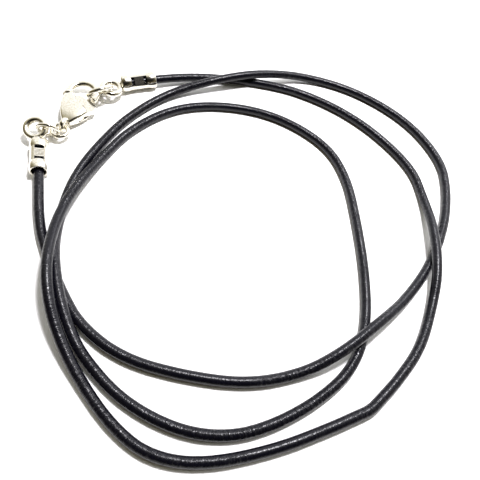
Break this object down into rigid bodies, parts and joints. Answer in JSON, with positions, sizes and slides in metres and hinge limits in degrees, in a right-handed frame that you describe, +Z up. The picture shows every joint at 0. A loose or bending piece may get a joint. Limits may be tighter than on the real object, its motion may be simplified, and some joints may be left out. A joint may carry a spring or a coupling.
{
  "type": "leather cord necklace",
  "caption": "Round leather cord necklace laid in loose loops, with crimp ends, soldered loops, jump rings and a closed lobster claw clasp.",
  "frame": {"origin": "under the middle of the clasp's metal pieces, on the surface that the necklace lies on", "axes": "+Z up from the surface; +Y along the clasp, from the crimp end at its tail towards its hook; +X towards the loops of cord"},
  "size_m": [0.0783, 0.075, 0.0051],
  "materials": {
    "leather": "glossy",
    "silver": "polished"
  },
  "bodies": {
    "necklace": {"cord": "leather", "crimp_end_a": "silver", "crimp_end_b": "silver", "claw_ring": "silver", "link_ring": "silver", "tail_ring": "silver", "claw_body": "silver", "claw_pin": "silver"},
    "lever": {"claw_lever": "silver"}
  },
  "joints": [
    {"name": "lever_hinge", "type": "hinge", "parent": "necklace", "child": "lever", "pos_m": [-0.00255, 0.00054, 0.0016], "axis": [0, 0, 1], "range_deg": [0, 20], "stiffness_Nm_per_rad": 0.0002, "springref_deg": -28.65}
  ]
}
